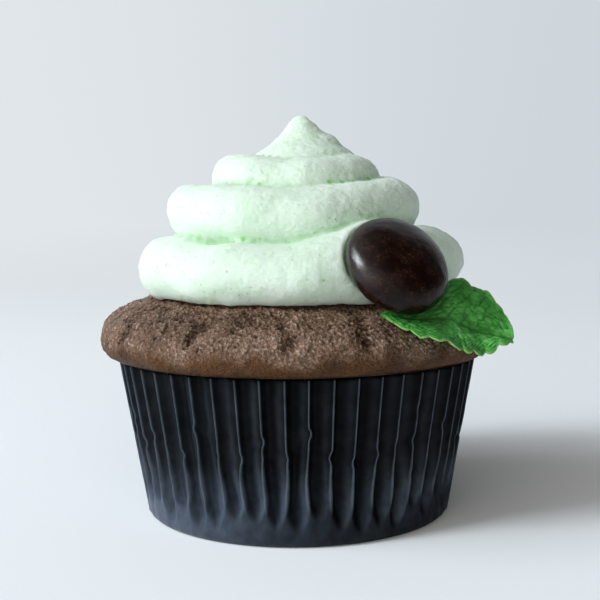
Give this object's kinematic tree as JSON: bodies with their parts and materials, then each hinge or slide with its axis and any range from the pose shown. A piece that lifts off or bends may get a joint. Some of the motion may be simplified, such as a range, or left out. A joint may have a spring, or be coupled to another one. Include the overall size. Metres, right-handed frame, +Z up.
{
  "type": "cupcake",
  "caption": "Chocolate cupcake in a pleated paper case, topped with a coiled swirl of piped frosting, a tilted chocolate lentil and a mint leaf.",
  "frame": {"origin": "centre of the flat foot of the paper case, on the surface that the cupcake stands on", "axes": "+Z up; -Y towards the side that holds the lentil; +X to the right of that side, where the leaf points"},
  "size_m": [0.0662, 0.0659, 0.066],
  "materials": {
    "paper": "satin",
    "sponge": "matte",
    "frosting": "satin",
    "chocolate": "satin",
    "leaf": "satin"
  },
  "bodies": {
    "root": {"paper_case": "paper", "cake": "sponge", "frosting_swirl": "frosting", "chocolate_lentil": "chocolate", "mint_leaf": "leaf"}
  },
  "joints": []
}
